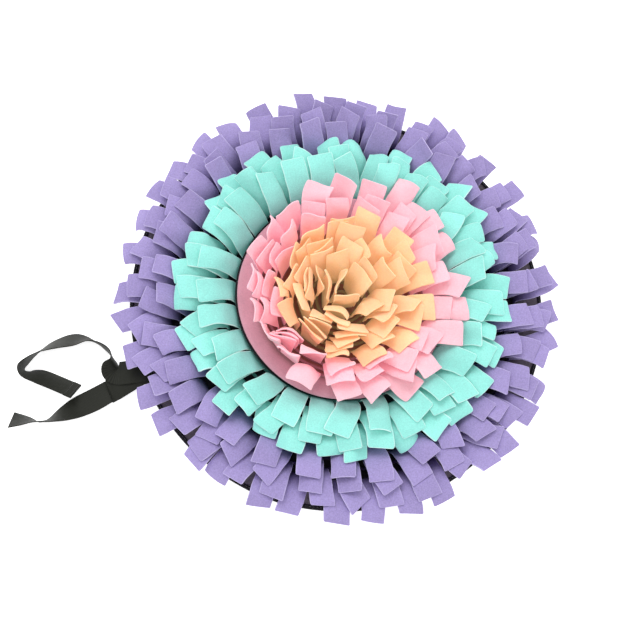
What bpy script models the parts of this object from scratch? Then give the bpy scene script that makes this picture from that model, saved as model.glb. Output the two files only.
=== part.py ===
# Snuffle mat: a round mat on two tiers, with rings of fleece tabs and a pair of ribbon ties.
# Metres, +Z up. The origin is on the floor under the middle of the base disc.

import math
import random
from collections import namedtuple

import bmesh
import bpy
from mathutils import Quaternion, Vector
from mathutils.bvhtree import BVHTree

mm = 0.001

# Driving dimensions, in millimetres and degrees.
turnSteps = 64           # facets round the discs and bindings
mergeNear = 0.00005      # metres: joins the ends of a full turn
sharpAngle = 35.0        # edges that turn more than this are shaded as edges
layGap = 0.3             # room between pieces that lie on each other
matRadius = 215.0        # outside of the base's binding
clothThick = 1.7         # base disc inside its binding; the rest of it is 3 mm, down to the floor
bindingThick = 1.0
bindingTop = 4.0         # how far the binding laps over the top
bindingUnder = 6.5       # and under the disc
bindingBevel = 0.5
dishRadius = 106.5       # upper disc
dishFloor = 58.0         # where the upper disc lies flat on the base
dishRim = 22.7           # height of its rim
dishThick = 2.0
dishCurve = 1.2          # 1 would be a straight cone, more is a rounder bowl
dishBends = 4            # flat stretches between the floor and the rim
edgingWide = 1.7
edgingLap = 0.3          # how far the edging stands over and under the disc's edge
stripWide = 3.0          # sewn strip under each ring of tabs
stripThick = 2.0
tabWide = 23.5
tabThick = 1.8
tabSteps = 3             # straight stretches in a tab's bend
tapeWide = 23.0          # ribbon of the ties
tapeThick = 1.0
tapeSteps = 3            # sections between two rows of a tie's table

baseTop = clothThick + bindingThick + layGap
sectionCorners = ((-0.5, -0.5), (0.5, -0.5), (0.5, 0.5), (-0.5, 0.5))

# One row for each ring of tabs, outermost first. climb and droop are a tab's slope at its root and
# at its tip, lean is how far the ring is combed one way, and unrest scales what sets tabs apart.
Ring = namedtuple("Ring", "name cloth count radius length climb droop lean unrest")
rings = [
    Ring("purple_row_1", "lavender", 37, 185.0, 51.0, 69, -19, 0, 1.4),
    Ring("purple_row_2", "lavender", 35, 174.5, 51.5, 73, -12, 0, 1.3),
    Ring("purple_row_3", "lavender", 34, 164.0, 51.5, 78, -6, 0, 1.3),
    Ring("purple_row_4", "lavender", 30, 153.0, 53.0, 81, 3, 0, 1.4),
    Ring("mint_row_1", "mint", 28, 131.0, 56.5, 84, -8, 2, 1.2),
    Ring("mint_row_2", "mint", 28, 119.0, 61.0, 86, -2, 2, 1.2),
    Ring("mint_row_3", "mint", 27, 107.0, 61.5, 82, 7, 2, 0.9),
    Ring("pink_row_1", "pink", 21, 85.0, 53.0, 84, 32, 32, 1.5),
    Ring("pink_row_2", "pink", 17, 72.0, 54.0, 86, 41, 31, 1.5),
    Ring("peach_row_1", "peach", 13, 56.2, 52.0, 87, 47, 27, 1.5),
    Ring("peach_row_2", "peach", 10, 43.3, 52.0, 88, 52, 24, 1.5),
    Ring("peach_row_3", "peach", 7, 31.0, 51.0, 90, 58, 19, 1.5),
    Ring("peach_row_4", "peach", 5, 19.0, 49.0, 92, 68, 11, 1.2),
]
upperCloths = ("pink", "peach")
firstSteps = {"mint_row_2": 0.0}      # where a ring's first tab is, in steps, where it isn't half a step
combTowards = 2.0        # the way the upper tier's tabs lean
combClimb = 0.4          # share of the lean that tilts a tab at its root
combSweep = 0.7          # share of the lean that turns a tab sideways

# How far a tab strays from the one beside it, at most, for an unrest of 1. It goes there in shares
# of the way, and only as far as the tabs within reach of it leave room.
strays = {"bearing": 1.2, "length": 0.05, "climb": 5.0, "droop": 10.0, "sweep": 14.0, "twist": 12.0}
shares = (0.2, 0.4, 0.6, 0.8, 1.0)
neighbourReach = 75.0
swellSweep = 7.0         # what neighbours share: a slow sway and rise round the mat
swellDroop = 3.0

# A tab as it is laid: seat gives the height of the cloth under it at a radius.
Tab = namedtuple("Tab", "bearing radius seat length climb droop sweep twist")

# Tabs that lie far from the rest of their ring: where, and how they are laid.
Loose = namedtuple("Loose", "ring bearing longer climb droop sweep")
looseTabs = [
    Loose("pink_row_1", 60.0, 1.18, 64.0, -4.0, -8.0),
]

# Ties: centre line from the sewn end to the free end. bank turns the ribbon from flat to on
# edge, and lift is the height of its lower edge above the floor.
Fold = namedtuple("Fold", "x y bank lift")
tieUpper = [
    Fold(-187, -79, 0, 5.2),
    Fold(-198, -81, 0, 6.6),
    Fold(-209, -83, 0, 6.6),
    Fold(-221, -84, 2, 4.8),
    Fold(-229, -79, 20, 2.9),
    Fold(-230, -69, 52, 1.2),
    Fold(-234, -61, 70, 0.4),
    Fold(-245, -54, 62, 0.2),
    Fold(-263, -53, 50, 0.2),
    Fold(-282, -58, 58, 0.2),
    Fold(-297, -67, 72, 0.2),
    Fold(-306, -75, 82, 0.2),
    Fold(-311, -82, 90, 0.2),
    Fold(-306, -88, 100, 0.2),
    Fold(-294, -90, 114, 0.2),
    Fold(-280, -95, 126, 0.2),
    Fold(-258, -104, 136, 0.2),
]
tieLower = [
    Fold(-187, -80, 0, 3.7),
    Fold(-198, -84, 0, 5.0),
    Fold(-210, -92, 0, 3.5),
    Fold(-221, -100, 0, 1.2),
    Fold(-238, -111, 4, 0.2),
    Fold(-254, -119, 14, 0.2),
    Fold(-268, -127, 40, 0.2),
    Fold(-281, -133, 70, 0.2),
    Fold(-291, -135, 80, 0.2),
    Fold(-301, -134, 62, 0.2),
    Fold(-316, -133, 40, 0.2),
]

# Colour, roughness and metallic value of each cloth.
cloths = {
    "lavender": ((0.40, 0.33, 0.62), 0.95, 0.0),
    "mint": ((0.33, 0.86, 0.76), 0.95, 0.0),
    "pink": ((0.95, 0.48, 0.56), 0.95, 0.0),
    "peach": ((0.94, 0.62, 0.33), 0.95, 0.0),
    "charcoal": ((0.07, 0.065, 0.075), 0.9, 0.0),
    "mauve": ((0.45, 0.20, 0.28), 0.9, 0.0),
    "black": ((0.015, 0.014, 0.016), 0.7, 0.0),
    "ribbon": ((0.03, 0.03, 0.026), 0.6, 0.0),
}


def clearScene():
    for thing in list(bpy.data.objects):
        bpy.data.objects.remove(thing, do_unlink=True)


def clothMaterial(name, cloth):
    colour, roughness, metallic = cloths[cloth]
    material = bpy.data.materials.new(name + "_" + cloth)
    material.use_nodes = True
    shader = material.node_tree.nodes["Principled BSDF"]
    shader.inputs["Base Color"].default_value = (*colour, 1.0)
    shader.inputs["Roughness"].default_value = roughness
    shader.inputs["Metallic"].default_value = metallic
    return material


def shadeRound(mesh):
    mesh.shade_smooth()
    mesh.set_sharp_from_angle(angle=math.radians(sharpAngle))


def addPiece(name, mesh, cloth, collection):
    piece = bpy.data.objects.new(name, mesh)
    mesh.materials.append(clothMaterial(name, cloth))
    collection.objects.link(piece)
    return piece


def turned(name, profile, closed, cloth, collection):
    # profile: (radius, height) pairs that run down the outer side
    mesh = bpy.data.meshes.new(name)
    points = [(radius * mm, 0.0, height * mm) for radius, height in profile]
    edges = [(i, i + 1) for i in range(len(points) - 1)]
    if closed:
        edges.append((len(points) - 1, 0))
    mesh.from_pydata(points, edges, [])
    piece = addPiece(name, mesh, cloth, collection)
    screw = piece.modifiers.new("Turn", "SCREW")
    screw.steps = turnSteps
    screw.render_steps = turnSteps
    screw.use_merge_vertices = True
    screw.merge_threshold = mergeNear
    depsgraph = bpy.context.evaluated_depsgraph_get()
    piece.data = bpy.data.meshes.new_from_object(piece.evaluated_get(depsgraph))
    piece.modifiers.remove(screw)
    shadeRound(piece.data)
    return piece


def baseDisc(collection):
    edge = matRadius - bindingThick - layGap
    under = matRadius - bindingUnder - layGap
    step = bindingThick + layGap
    profile = [
        (0, clothThick + step),
        (edge, clothThick + step),
        (edge, step),
        (under, step),
        (under - step, 0),
        (0, 0),
    ]
    return turned("base_disc", profile, False, "charcoal", collection)


def rimBinding(collection):
    inner = matRadius - bindingThick
    under = matRadius - bindingUnder
    lap = matRadius - bindingTop
    low = bindingThick
    high = clothThick + bindingThick + 2 * layGap
    top = high + bindingThick
    profile = [
        (lap, high),
        (lap, top),
        (matRadius - bindingBevel, top),
        (matRadius, top - bindingBevel),
        (matRadius, bindingBevel),
        (matRadius - bindingBevel, 0),
        (under, 0),
        (under, low),
        (inner, low),
        (inner, high),
    ]
    return turned("rim_binding", profile, True, "black", collection)


def dishHeight(radius):
    # top of the upper disc: flat on the base, then an even rise to the rim
    floor = baseTop + layGap + dishThick
    rise = max(0.0, (radius - dishFloor) / (dishRadius - dishFloor))
    return floor + (dishRim - floor) * rise ** dishCurve


def upperDisc(collection):
    slope = dishRadius - dishFloor
    bends = [dishFloor + slope * part / dishBends for part in range(dishBends + 1)]
    top = [(radius, dishHeight(radius)) for radius in bends]
    under = [(radius, height - dishThick) for radius, height in reversed(top)]
    profile = [(0, dishHeight(0))] + top + under + [(0, dishHeight(0) - dishThick)]
    return turned("upper_disc", profile, False, "mauve", collection)


def upperDiscEdge(collection):
    inner = dishRadius + layGap
    outer = inner + edgingWide
    top = dishRim + edgingLap
    low = dishRim - dishThick - edgingLap
    profile = [
        (inner, top),
        (outer - bindingBevel, top),
        (outer, top - bindingBevel),
        (outer, low + bindingBevel),
        (outer - bindingBevel, low),
        (inner, low),
    ]
    return turned("upper_disc_edge", profile, True, "black", collection)


def baseHeight(radius):
    return baseTop


def tierTop(ring):
    # the height of the cloth that a ring is sewn to, as a function of the radius
    return dishHeight if ring.cloth in upperCloths else baseHeight


def swell(bearing, seed):
    # a smooth, uneven wave round the mat, from about -1 to 1
    turn = math.radians(bearing)
    slow = math.sin(2 * turn + 1.7 * seed)
    middle = math.sin(5 * turn + 2.9 * seed)
    quick = math.sin(11 * turn + 4.3 * seed)
    return 0.4 * slow + 0.35 * middle + 0.25 * quick


def strayOf(ring, chance):
    return {name: chance.uniform(-most, most) * ring.unrest for name, most in strays.items()}


def evenTab(ring, bearing):
    # a tab as its ring's row of the table has it, with the sway that it shares with its neighbours
    seed = list(cloths).index(ring.cloth)
    off = math.radians(combTowards - bearing)
    along = ring.lean * math.cos(off)
    tab = Tab(
        bearing=bearing,
        radius=ring.radius,
        seat=tierTop(ring),
        length=ring.length,
        climb=ring.climb - combClimb * along,
        droop=ring.droop - along + swellDroop * swell(bearing, seed),
        sweep=combSweep * ring.lean * math.sin(off) + swellSweep * swell(bearing, seed + 5),
        twist=0.0,
    )
    for row in looseTabs:
        apart = (row.bearing - bearing + 180) % 360 - 180
        if row.ring == ring.name and abs(apart) <= 180 / ring.count:
            tab = tab._replace(
                length=ring.length * row.longer,
                climb=row.climb,
                droop=row.droop,
                sweep=row.sweep,
            )
    return tab


def strayedTab(tab, stray, moved):
    # moved holds, for each way that the tab strays, the share of it that it has gone
    return tab._replace(
        bearing=tab.bearing + stray["bearing"] * moved["bearing"],
        length=tab.length * (1 + stray["length"] * moved["length"]),
        climb=tab.climb + stray["climb"] * moved["climb"],
        droop=tab.droop + stray["droop"] * moved["droop"],
        sweep=tab.sweep + stray["sweep"] * moved["sweep"],
        twist=tab.twist + stray["twist"] * moved["twist"],
    )


def settledTabs():
    # every tab starts even, then goes as far its own way as the tabs around it leave room
    evens = []
    wishes = []
    for ring in rings:
        chance = random.Random(ring.name)
        for index in range(ring.count):
            evens.append(evenTab(ring, (index + firstSteps.get(ring.name, 0.5)) * 360 / ring.count))
            wishes.append(strayOf(ring, chance))
    tabs = list(evens)
    trees = [tabTree(tab) for tab in tabs]
    moved = [dict.fromkeys(strays, 0.0) for tab in tabs]
    middles = [tabPath(tab, 2)[1][0] for tab in tabs]
    around = [[other for other, middle in enumerate(middles)
               if other != index and (middle - middles[index]).length < neighbourReach]
              for index in range(len(tabs))]
    for share in shares:
        for name in strays:
            for index, even in enumerate(evens):
                trial = {**moved[index], name: share}
                tab = strayedTab(even, wishes[index], trial)
                tree = tabTree(tab)
                if not any(tree.overlap(trees[other]) for other in around[index]):
                    tabs[index] = tab
                    trees[index] = tree
                    moved[index] = trial
    settled = iter(tabs)
    return {ring.name: [next(settled) for index in range(ring.count)] for ring in rings}


def tabTree(tab):
    # the tab's sides, grown by the room that it keeps, with both diagonals of each side
    thick = tabThick + layGap
    wide = tabWide + layGap
    corners = []
    for centre, depth, across in tabPath(tab, tabSteps):
        for through, side in sectionCorners:
            corners.append(centre + depth * through * thick + across * side * wide)
    quads = [(0, 1, 2, 3), tuple(range(len(corners) - 4, len(corners)))]
    for start in range(0, len(corners) - 4, 4):
        for corner in range(4):
            follow = (corner + 1) % 4
            quads.append((start + corner, start + follow, start + 4 + follow, start + 4 + corner))
    faces = [(a, b, c) for a, b, c, d in quads] + [(a, c, d) for a, b, c, d in quads]
    faces += [(a, b, d) for a, b, c, d in quads] + [(b, c, d) for a, b, c, d in quads]
    return BVHTree.FromPolygons(corners, faces)


def tabPath(tab, steps):
    # centre, thickness direction and width direction of each section, from the root to the tip
    turn = math.radians(tab.bearing)
    root = tab.seat(tab.radius) + layGap + stripThick
    point = Vector((tab.radius * math.cos(turn), tab.radius * math.sin(turn), root))
    stretch = tab.length / steps
    path = []
    for index in range(steps + 1):
        path.append((point.copy(), *tabFrame(tab, index / steps)))
        point += heading(tab, (index + 0.5) / steps) * stretch
    return path


def heading(tab, along):
    slope = math.radians(tab.climb + (tab.droop - tab.climb) * along)
    turn = math.radians(tab.bearing + tab.sweep * along)
    return Vector((math.cos(turn) * math.cos(slope), math.sin(turn) * math.cos(slope), math.sin(slope)))


def tabFrame(tab, along):
    ahead = heading(tab, along)
    across = Vector((-ahead.y, ahead.x, 0.0)).normalized()
    across.rotate(Quaternion(ahead, math.radians(tab.twist * along)))
    return ahead.cross(across), across


def stripCorners(tab):
    # the two ends of a tab's stretch of strip, each an inner and an outer point
    turn = math.radians(tab.bearing)
    out = Vector((math.cos(turn), math.sin(turn), 0.0))
    across = Vector((-out.y, out.x, 0.0))
    ends = []
    for side in (-0.5, 0.5):
        corners = []
        for edge in (-0.5, 0.5):
            corner = out * (tab.radius + edge * stripWide) + across * side * tabWide
            corner.z = tab.seat(corner.length) + layGap
            corners.append(corner)
        ends.append(corners)
    return ends


def tabRing(ring, tabs, collection):
    # the strip is a band of faces, thickened upwards; each tab is one of its top faces, drawn out
    bm = bmesh.new()
    ends = [end for tab in tabs for end in stripCorners(tab)]
    pairs = [[bm.verts.new(corner * mm) for corner in end] for end in ends]
    band = []
    for index, (inner, outer) in enumerate(pairs):
        nextInner, nextOuter = pairs[(index + 1) % len(pairs)]
        band.append(bm.faces.new((inner, nextInner, nextOuter, outer)))
    lifted = bmesh.ops.extrude_face_region(bm, geom=band)["geom"]
    risen = [item for item in lifted if isinstance(item, bmesh.types.BMVert)]
    bmesh.ops.translate(bm, verts=risen, vec=(0, 0, stripThick * mm))
    tops = [item for item in lifted if isinstance(item, bmesh.types.BMFace)]
    bmesh.ops.recalc_face_normals(bm, faces=bm.faces)
    roots = [min(tops, key=lambda top: fromRoot(top, tab)) for tab in tabs]
    for face, tab in zip(roots, tabs):
        drawOut(bm, face, tab)
    mesh = bpy.data.meshes.new(ring.name)
    bm.to_mesh(mesh)
    bm.free()
    return addPiece(ring.name, mesh, ring.cloth, collection)


def fromRoot(face, tab):
    root = tabPath(tab, 1)[0][0] * mm
    return (face.calc_center_median() - root).length


def drawOut(bm, face, tab):
    path = tabPath(tab, tabSteps)
    start, depth, across = path[0]
    sides = []
    for vert in face.verts:
        offset = vert.co - start * mm
        sides.append((math.copysign(0.5, offset.dot(depth)), math.copysign(0.5, offset.dot(across))))
    for centre, depth, across in path[1:]:
        low = list(face.verts)
        face = bmesh.ops.extrude_discrete_faces(bm, faces=[face])["faces"][0]
        high = list(face.verts)
        for vert, (through, side) in zip(high, sides):
            vert.co = (centre + depth * through * tabThick + across * side * tabWide) * mm
        for corner in range(4):
            follow = (corner + 1) % 4
            if sides[follow] < sides[corner]:
                corner, follow = follow, corner
            splitFace(low[corner], high[follow])


def splitFace(start, finish):
    # opposite sides of a twisted tab are split the same way, which keeps its thickness
    face = next(face for face in start.link_faces if finish in face.verts)
    bmesh.utils.face_split(face, start, finish)


def tapeSections(folds):
    # the table's rows joined by a smooth curve through them (Catmull-Rom)
    ends = [folds[0]] + folds + [folds[-1]]
    sections = []
    for index in range(1, len(ends) - 2):
        before, start, finish, after = ends[index - 1:index + 3]
        for part in range(tapeSteps):
            t = part / tapeSteps
            sections.append(Fold(*(smooth(*values, t) for values in zip(before, start, finish, after))))
    sections.append(folds[-1])
    return sections


def smooth(a, b, c, d, t):
    return 0.5 * (2 * b + (c - a) * t + (2 * a - 5 * b + 4 * c - d) * t * t
                  + (3 * b - a - 3 * c + d) * t * t * t)


def ribbonTie(name, folds, collection):
    # a flat tape lofted through its sections
    sections = tapeSections(folds)
    bm = bmesh.new()
    loops = []
    for index, fold in enumerate(sections):
        before = sections[max(index - 1, 0)]
        after = sections[min(index + 1, len(sections) - 1)]
        ahead = Vector((after.x - before.x, after.y - before.y, 0.0)).normalized()
        bank = math.radians(fold.bank)
        across = Vector((-ahead.y * math.cos(bank), ahead.x * math.cos(bank), math.sin(bank)))
        depth = ahead.cross(across)
        reach = 0.5 * (abs(across.z) * tapeWide + abs(depth.z) * tapeThick)
        centre = Vector((fold.x, fold.y, fold.lift + reach))
        loops.append([
            bm.verts.new((centre + across * side * tapeWide + depth * through * tapeThick) * mm)
            for side, through in sectionCorners
        ])
    for first, second in zip(loops, loops[1:]):
        for low, high in ((0, 1), (1, 2), (3, 2), (0, 3)):
            bm.faces.new((first[low], first[high], second[high]))
            bm.faces.new((first[low], second[high], second[low]))
    bm.faces.new(loops[0])
    bm.faces.new(loops[-1])
    bmesh.ops.recalc_face_normals(bm, faces=bm.faces)
    mesh = bpy.data.meshes.new(name)
    bm.to_mesh(mesh)
    bm.free()
    shadeRound(mesh)
    return addPiece(name, mesh, "ribbon", collection)


def buildMat():
    clearScene()
    collection = bpy.data.collections.new("snuffle_mat")
    bpy.context.scene.collection.children.link(collection)
    baseDisc(collection)
    rimBinding(collection)
    upperDisc(collection)
    upperDiscEdge(collection)
    tabs = settledTabs()
    for ring in rings:
        tabRing(ring, tabs[ring.name], collection)
    ribbonTie("tie_upper", tieUpper, collection)
    ribbonTie("tie_lower", tieLower, collection)


buildMat()
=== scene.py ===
import math
import random
from collections import namedtuple

import bpy
import numpy as np
from mathutils import Matrix, Quaternion, Vector
from mathutils.bvhtree import BVHTree


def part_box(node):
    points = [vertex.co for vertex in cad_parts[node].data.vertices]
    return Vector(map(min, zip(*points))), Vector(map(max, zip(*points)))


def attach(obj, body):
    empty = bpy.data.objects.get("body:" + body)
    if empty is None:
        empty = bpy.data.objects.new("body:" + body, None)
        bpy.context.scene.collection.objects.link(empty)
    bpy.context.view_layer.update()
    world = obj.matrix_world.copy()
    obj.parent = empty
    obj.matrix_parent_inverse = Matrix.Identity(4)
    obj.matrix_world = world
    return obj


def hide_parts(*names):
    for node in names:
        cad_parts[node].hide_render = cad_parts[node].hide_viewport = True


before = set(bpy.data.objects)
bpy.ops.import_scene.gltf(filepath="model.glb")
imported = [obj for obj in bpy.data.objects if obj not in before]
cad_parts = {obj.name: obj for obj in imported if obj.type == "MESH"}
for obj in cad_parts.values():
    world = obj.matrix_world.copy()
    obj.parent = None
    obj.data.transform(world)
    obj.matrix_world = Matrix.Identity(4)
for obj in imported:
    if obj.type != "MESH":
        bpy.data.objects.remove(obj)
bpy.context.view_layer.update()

mm = 0.001
print("frame loaded:", len(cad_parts), "nodes")

# sizes in millimetres, read from the solids where they show there
matRadius = round(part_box("rim_binding")[1].x / mm, 3)
baseTop = round(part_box("base_disc")[1].z / mm, 3)
baseEdge = round(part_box("base_disc")[1].x / mm, 3)
dishRadius = round(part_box("upper_disc")[1].x / mm, 3)
dishRim = round(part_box("upper_disc")[1].z / mm, 3)
layGap = 0.3
dishFloor = 58.0
dishThick = 2.0
dishCurve = 1.2
stripWide = 3.0
stripThick = 2.0
tabWide = 23.5
tabThick = 1.8
tabSteps = 3

# Where every tab lies, by the solids' own table and way of settling. Climb and droop are a tab's slopes at
# its root and at its tip, lean is how far the comb lays it over, and unrest scales how far it strays.
Ring = namedtuple("Ring", "name cloth count radius length climb droop lean unrest")
rings = [
    Ring("purple_row_1", "lavender", 37, 185.0, 51.0, 69, -19, 0, 1.4),
    Ring("purple_row_2", "lavender", 35, 174.5, 51.5, 73, -12, 0, 1.3),
    Ring("purple_row_3", "lavender", 34, 164.0, 51.5, 78, -6, 0, 1.3),
    Ring("purple_row_4", "lavender", 30, 153.0, 53.0, 81, 3, 0, 1.4),
    Ring("mint_row_1", "mint", 28, 131.0, 56.5, 84, -8, 2, 1.2),
    Ring("mint_row_2", "mint", 28, 119.0, 61.0, 86, -2, 2, 1.2),
    Ring("mint_row_3", "mint", 27, 107.0, 61.5, 82, 7, 2, 0.9),
    Ring("pink_row_1", "pink", 21, 85.0, 53.0, 84, 32, 32, 1.5),
    Ring("pink_row_2", "pink", 17, 72.0, 54.0, 86, 41, 31, 1.5),
    Ring("peach_row_1", "peach", 13, 56.2, 52.0, 87, 47, 27, 1.5),
    Ring("peach_row_2", "peach", 10, 43.3, 52.0, 88, 52, 24, 1.5),
    Ring("peach_row_3", "peach", 7, 31.0, 51.0, 90, 58, 19, 1.5),
    Ring("peach_row_4", "peach", 5, 19.0, 49.0, 92, 68, 11, 1.2),
]
layout = {
    "upperCloths": ("pink", "peach"),
    "combTowards": 2.0,        # the bearing that the leaning tabs are combed towards
    "combClimb": 0.4,          # how much of a ring's lean goes into the slope of its roots
    "combSweep": 0.7,          # and how much into turning its tabs aside
    "strays": {"bearing": 1.2, "length": 0.05, "climb": 5.0, "droop": 10.0, "sweep": 14.0, "twist": 12.0},
    "shares": (0.2, 0.4, 0.6, 0.8, 1.0),     # of its stray, tried one after the other
    "reach": 75.0,             # tabs farther apart than this never touch
    "offsets": {"mint_row_2": 0.0},     # where the first tab is, in steps
    "swellSweep": 7.0,         # slow waves round the mat, in degrees
    "swellDroop": 3.0,
    "swellSeeds": {"lavender": 0, "mint": 1, "pink": 2, "peach": 3},
}
Loose = namedtuple("Loose", "ring bearing longer climb droop sweep")
looseTabs = [
    Loose("pink_row_1", 60.0, 1.18, 64.0, -4.0, -8.0),     # it hangs out over the mint
]
Tab = namedtuple("Tab", "bearing radius seat length climb droop sweep twist")
sectionCorners = ((-0.5, -0.5), (0.5, -0.5), (0.5, 0.5), (-0.5, 0.5))


def dishHeight(radius):
    floor = baseTop + layGap + dishThick
    rise = max(0.0, (radius - dishFloor) / (dishRadius - dishFloor))
    return floor + (dishRim - floor) * rise ** dishCurve


def baseHeight(radius):
    return baseTop


def tierTop(ring):
    return dishHeight if ring.cloth in layout["upperCloths"] else baseHeight


def swell(bearing, seed):
    # a smooth, uneven wave round the mat, from about -1 to 1
    turn = math.radians(bearing)
    slow = math.sin(2 * turn + 1.7 * seed)
    middle = math.sin(5 * turn + 2.9 * seed)
    quick = math.sin(11 * turn + 4.3 * seed)
    return 0.4 * slow + 0.35 * middle + 0.25 * quick


def apart(bearing, other):
    return abs((bearing - other + 180) % 360 - 180)


def evenTab(ring, bearing):
    seed = layout["swellSeeds"][ring.cloth]
    off = math.radians(layout["combTowards"] - bearing)
    along = ring.lean * math.cos(off)
    aside = layout["combSweep"] * ring.lean * math.sin(off)
    tab = Tab(
        bearing=bearing,
        radius=ring.radius,
        seat=tierTop(ring),
        length=ring.length,
        climb=ring.climb - layout["combClimb"] * along,
        droop=ring.droop - along + layout["swellDroop"] * swell(bearing, seed),
        sweep=aside + layout["swellSweep"] * swell(bearing, seed + 5),
        twist=0.0,
    )
    for row in looseTabs:
        if row.ring == ring.name and apart(row.bearing, bearing) <= 180 / ring.count:
            tab = tab._replace(
                length=ring.length * row.longer,
                climb=row.climb,
                droop=row.droop,
                sweep=row.sweep,
            )
    return tab


def strayedTab(tab, stray, moved):
    return tab._replace(
        bearing=tab.bearing + stray["bearing"] * moved["bearing"],
        length=tab.length * (1 + stray["length"] * moved["length"]),
        climb=tab.climb + stray["climb"] * moved["climb"],
        droop=tab.droop + stray["droop"] * moved["droop"],
        sweep=tab.sweep + stray["sweep"] * moved["sweep"],
        twist=tab.twist + stray["twist"] * moved["twist"],
    )


def heading(tab, along):
    slope = math.radians(tab.climb + (tab.droop - tab.climb) * along)
    turn = math.radians(tab.bearing + tab.sweep * along)
    return Vector((math.cos(turn) * math.cos(slope), math.sin(turn) * math.cos(slope), math.sin(slope)))


def tabFrame(tab, along):
    ahead = heading(tab, along)
    across = Vector((-ahead.y, ahead.x, 0.0)).normalized()
    across.rotate(Quaternion(ahead, math.radians(tab.twist * along)))
    return ahead.cross(across), across


def tabPath(tab, steps):
    turn = math.radians(tab.bearing)
    root = tab.seat(tab.radius) + layGap + stripThick
    point = Vector((tab.radius * math.cos(turn), tab.radius * math.sin(turn), root))
    stretch = tab.length / steps
    path = []
    for index in range(steps + 1):
        path.append((point.copy(), *tabFrame(tab, index / steps)))
        point += heading(tab, (index + 0.5) / steps) * stretch
    return path


def tabTree(tab):
    # the tab's sides, grown by the room that it keeps, with both diagonals of each side
    thick = tabThick + layGap
    wide = tabWide + layGap
    corners = []
    for centre, depth, across in tabPath(tab, tabSteps):
        for through, side in sectionCorners:
            corners.append(centre + depth * through * thick + across * side * wide)
    quads = [(0, 1, 2, 3), tuple(range(len(corners) - 4, len(corners)))]
    for start in range(0, len(corners) - 4, 4):
        for corner in range(4):
            follow = (corner + 1) % 4
            quads.append((start + corner, start + follow, start + 4 + follow, start + 4 + corner))
    faces = [(a, b, c) for a, b, c, d in quads] + [(a, c, d) for a, b, c, d in quads]
    faces += [(a, b, d) for a, b, c, d in quads] + [(b, c, d) for a, b, c, d in quads]
    return BVHTree.FromPolygons(corners, faces)


def nearTabs(tabs):
    middles = [tabPath(tab, 2)[1][0] for tab in tabs]
    return [[other for other, middle in enumerate(middles)
             if other != index and (middle - middles[index]).length < layout["reach"]]
            for index in range(len(tabs))]


def settledTabs():
    # every tab starts even, then goes as far its own way as the tabs around it leave room
    evens = []
    wishes = []
    strays = layout["strays"]
    for ring in rings:
        chance = random.Random(ring.name)
        for index in range(ring.count):
            evens.append(evenTab(ring, (index + layout["offsets"].get(ring.name, 0.5)) * 360 / ring.count))
            wishes.append({name: chance.uniform(-most, most) * ring.unrest for name, most in strays.items()})
    tabs = list(evens)
    trees = [tabTree(tab) for tab in tabs]
    moved = [dict.fromkeys(strays, 0.0) for tab in tabs]
    around = nearTabs(tabs)
    for share in layout["shares"]:
        for name in strays:
            for index, even in enumerate(evens):
                trial = {**moved[index], name: share}
                tab = strayedTab(even, wishes[index], trial)
                tree = tabTree(tab)
                if not any(tree.overlap(trees[other]) for other in around[index]):
                    tabs[index] = tab
                    trees[index] = tree
                    moved[index] = trial
    return tabs


laidTabs = settledTabs()
print("tabs laid:", len(laidTabs))

laid = iter(laidTabs)
tabGroups = [[next(laid) for index in range(ring.count)] for ring in rings]

# strips past what the solids hold: each tab lies as those before and behind it do, where it is free
fullness = {
    "tries": 160,
    "between": (0.25, 0.75),   # how far an added tab lies from the ring before it to the one behind
    "bare": (205.0, 26.0),     # no peach tab is added within this many degrees of this bearing
    "spread": {"length": 2.5, "climb": 2.0, "droop": 5.0, "sweep": 6.0, "twist": 7.0},
    "pink_row_1": Ring("pink_more_1", "pink", 21, 78.5, 53.0, 84, 30, 25, 1.0),
    "pink_row_2": Ring("pink_more_2", "pink", 17, 64.5, 54.0, 86, 33, 22, 1.0),
    "peach_row_1": Ring("peach_more_1", "peach", 10, 50.0, 53.0, 87, 38, 19, 1.0),
    "peach_row_2": Ring("peach_more_2", "peach", 7, 37.5, 52.0, 89, 46, 17, 1.0),
    "peach_row_3": Ring("peach_more_3", "peach", 5, 25.0, 50.0, 91, 58, 13, 1.0),
    "peach_row_4": Ring("peach_more_4", "peach", 4, 9.0, 47.0, 94, 76, 6, 1.0),
}

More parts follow.
